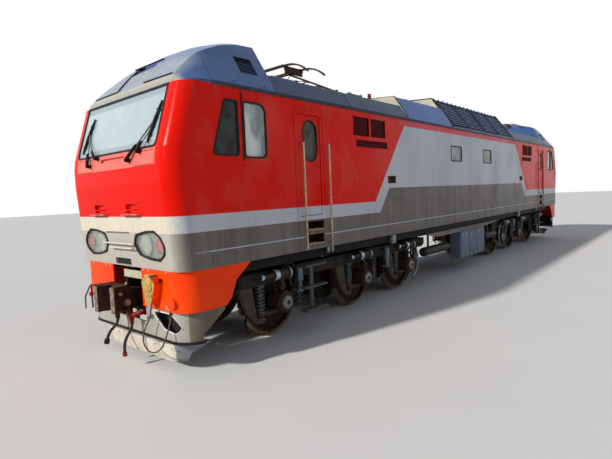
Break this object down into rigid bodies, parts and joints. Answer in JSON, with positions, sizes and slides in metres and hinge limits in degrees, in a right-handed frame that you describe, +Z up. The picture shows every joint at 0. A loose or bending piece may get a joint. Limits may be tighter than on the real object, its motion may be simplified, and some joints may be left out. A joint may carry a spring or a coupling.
{
  "type": "electric locomotive",
  "caption": "Six-axle passenger electric locomotive in red and grey, with a rounded cab and folded pantograph at each end",
  "frame": {"origin": "middle of the locomotive, level with the tips of the wheel flanges; the rail's top is at Z = 0.030", "axes": "X along the track with the pictured cab at -X, Y across the track, Z up"},
  "size_m": [21.28, 3.252, 5.18],
  "materials": {
    "front_paint": "gloss, dusty",
    "side_paint": "gloss, dusty",
    "orange_paint": "satin",
    "roof_paint": "satin",
    "cream_paint": "satin",
    "grey_paint": "satin",
    "chassis_paint": "matt, dusty",
    "black_paint": "satin",
    "interior_panels": "matt",
    "clear_glass": "polished",
    "lamp_glass": "polished",
    "black_rubber": "matt",
    "cast_steel": "rough, rusty",
    "wheel_steel": "worn",
    "pale_steel": "satin",
    "copper_strip": "dull"
  },
  "bodies": {
    "locomotive_body": {"battery_boxes": "grey_paint", "brake_hose_far": "black_rubber", "brake_hose_near": "black_rubber", "bulkheads": "interior_panels", "bus_bars": "copper_strip", "cab_interiors": "interior_panels", "cab_roof_front": "roof_paint", "cab_roof_rear": "roof_paint", "cab_shell_front": "front_paint", "cab_shell_rear": "front_paint", "deflectors": "grey_paint", "draft_boxes": "chassis_paint", "end_fittings": "chassis_paint", "equipment_block": "chassis_paint", "handrails": "pale_steel", "headlamps": "lamp_glass", "hose_heads": "cast_steel", "jumper_cable": "black_rubber", "low_roofs": "roof_paint", "pantograph_bases": "chassis_paint", "rail_guards": "grey_paint", "roof_end_walls": "cream_paint", "roof_louvre_section": "roof_paint", "roof_smooth_section": "roof_paint", "side_glass": "clear_glass", "side_wall_left": "side_paint", "side_wall_right": "side_paint", "skirts": "orange_paint", "step_boxes": "side_paint", "underbody_ducts": "cream_paint", "underframe": "chassis_paint", "window_rubbers": "black_rubber", "windshields": "clear_glass", "wipers": "black_paint"},
    "bogie_front": {"bogie_frame_front": "chassis_paint", "springs_front": "black_paint", "bogie_fittings_front": "chassis_paint", "motors_front": "chassis_paint"},
    "bogie_rear": {"bogie_frame_rear": "chassis_paint", "springs_rear": "black_paint", "bogie_fittings_rear": "chassis_paint", "motors_rear": "chassis_paint"},
    "coupler_body_front": {"coupler_front": "cast_steel"},
    "coupler_body_rear": {"coupler_rear": "cast_steel"},
    "lower_arm_body_front": {"lower_arm_front": "black_paint"},
    "upper_arm_body_front": {"upper_arm_front": "black_paint"},
    "collector_body_front": {"collector_head_front": "copper_strip"},
    "lower_arm_body_rear": {"lower_arm_rear": "black_paint"},
    "upper_arm_body_rear": {"upper_arm_rear": "black_paint"},
    "collector_body_rear": {"collector_head_rear": "copper_strip"},
    "wheels_1": {"wheelset_1": "wheel_steel"},
    "wheels_2": {"wheelset_2": "wheel_steel"},
    "wheels_3": {"wheelset_3": "wheel_steel"},
    "wheels_4": {"wheelset_4": "wheel_steel"},
    "wheels_5": {"wheelset_5": "wheel_steel"},
    "wheels_6": {"wheelset_6": "wheel_steel"},
    "door_body_1": {"door_1": "side_paint"},
    "door_body_2": {"door_2": "side_paint"},
    "door_body_3": {"door_3": "side_paint"},
    "door_body_4": {"door_4": "side_paint"}
  },
  "joints": [
    {"name": "bogie_swivel_front", "type": "hinge", "parent": "locomotive_body", "child": "bogie_front", "pos_m": [-5.7, 0, 1.2], "axis": [0, 0, 1], "range_deg": [-3.5, 3.5]},
    {"name": "bogie_swivel_rear", "type": "hinge", "parent": "locomotive_body", "child": "bogie_rear", "pos_m": [5.7, 0, 1.2], "axis": [0, 0, 1], "range_deg": [-3.5, 3.5]},
    {"name": "wheelset_spin_1", "type": "hinge", "parent": "bogie_front", "child": "wheels_1", "pos_m": [-7.95, 0, 0.655], "axis": [0, 1, 0], "continuous": true},
    {"name": "wheelset_spin_2", "type": "hinge", "parent": "bogie_front", "child": "wheels_2", "pos_m": [-5.4, 0, 0.655], "axis": [0, 1, 0], "continuous": true},
    {"name": "wheelset_spin_3", "type": "hinge", "parent": "bogie_front", "child": "wheels_3", "pos_m": [-3.45, 0, 0.655], "axis": [0, 1, 0], "continuous": true},
    {"name": "wheelset_spin_4", "type": "hinge", "parent": "bogie_rear", "child": "wheels_4", "pos_m": [3.45, 0, 0.655], "axis": [0, 1, 0], "continuous": true},
    {"name": "wheelset_spin_5", "type": "hinge", "parent": "bogie_rear", "child": "wheels_5", "pos_m": [5.4, 0, 0.655], "axis": [0, 1, 0], "continuous": true},
    {"name": "wheelset_spin_6", "type": "hinge", "parent": "bogie_rear", "child": "wheels_6", "pos_m": [7.95, 0, 0.655], "axis": [0, 1, 0], "continuous": true},
    {"name": "door_1_hinge", "type": "hinge", "parent": "locomotive_body", "child": "door_body_1", "pos_m": [-7.198, -1.478, 3.015], "axis": [0, 0, -1], "range_deg": [0, 85]},
    {"name": "door_2_hinge", "type": "hinge", "parent": "locomotive_body", "child": "door_body_2", "pos_m": [7.198, -1.478, 3.015], "axis": [0, 0, 1], "range_deg": [0, 85]},
    {"name": "door_3_hinge", "type": "hinge", "parent": "locomotive_body", "child": "door_body_3", "pos_m": [-7.198, 1.478, 3.015], "axis": [0, 0, 1], "range_deg": [0, 85]},
    {"name": "door_4_hinge", "type": "hinge", "parent": "locomotive_body", "child": "door_body_4", "pos_m": [7.198, 1.478, 3.015], "axis": [0, 0, -1], "range_deg": [0, 85]},
    {"name": "coupler_swing_front", "type": "hinge", "parent": "locomotive_body", "child": "coupler_body_front", "pos_m": [-9.48, 0, 1.08], "axis": [0, 0, 1], "range_deg": [-8, 8]},
    {"name": "coupler_swing_rear", "type": "hinge", "parent": "locomotive_body", "child": "coupler_body_rear", "pos_m": [9.48, 0, 1.08], "axis": [0, 0, 1], "range_deg": [-8, 8]},
    {"name": "pantograph_raise_front", "type": "hinge", "parent": "locomotive_body", "child": "lower_arm_body_front", "pos_m": [-6.45, 0, 4.82], "axis": [0, -1, 0], "range_deg": [0, 36]},
    {"name": "pantograph_knee_front", "type": "hinge", "parent": "lower_arm_body_front", "child": "upper_arm_body_front", "pos_m": [-4.85, 0, 4.89], "axis": [0, 1, 0], "range_deg": [0, 69.5]},
    {"name": "collector_level_front", "type": "hinge", "parent": "upper_arm_body_front", "child": "collector_body_front", "pos_m": [-6.7, 0, 4.93], "axis": [0, -1, 0], "range_deg": [0, 33.5]},
    {"name": "pantograph_raise_rear", "type": "hinge", "parent": "locomotive_body", "child": "lower_arm_body_rear", "pos_m": [6.45, 0, 4.82], "axis": [0, 1, 0], "range_deg": [0, 36]},
    {"name": "pantograph_knee_rear", "type": "hinge", "parent": "lower_arm_body_rear", "child": "upper_arm_body_rear", "pos_m": [4.85, 0, 4.89], "axis": [0, -1, 0], "range_deg": [0, 69.5]},
    {"name": "collector_level_rear", "type": "hinge", "parent": "upper_arm_body_rear", "child": "collector_body_rear", "pos_m": [6.7, 0, 4.93], "axis": [0, 1, 0], "range_deg": [0, 33.5]}
  ],
  "couplings": [
    {"joint": "pantograph_knee_front", "follows": "pantograph_raise_front", "ratio": 1.93},
    {"joint": "collector_level_front", "follows": "pantograph_raise_front", "ratio": 0.93},
    {"joint": "pantograph_knee_rear", "follows": "pantograph_raise_rear", "ratio": 1.93},
    {"joint": "collector_level_rear", "follows": "pantograph_raise_rear", "ratio": 0.93}
  ]
}
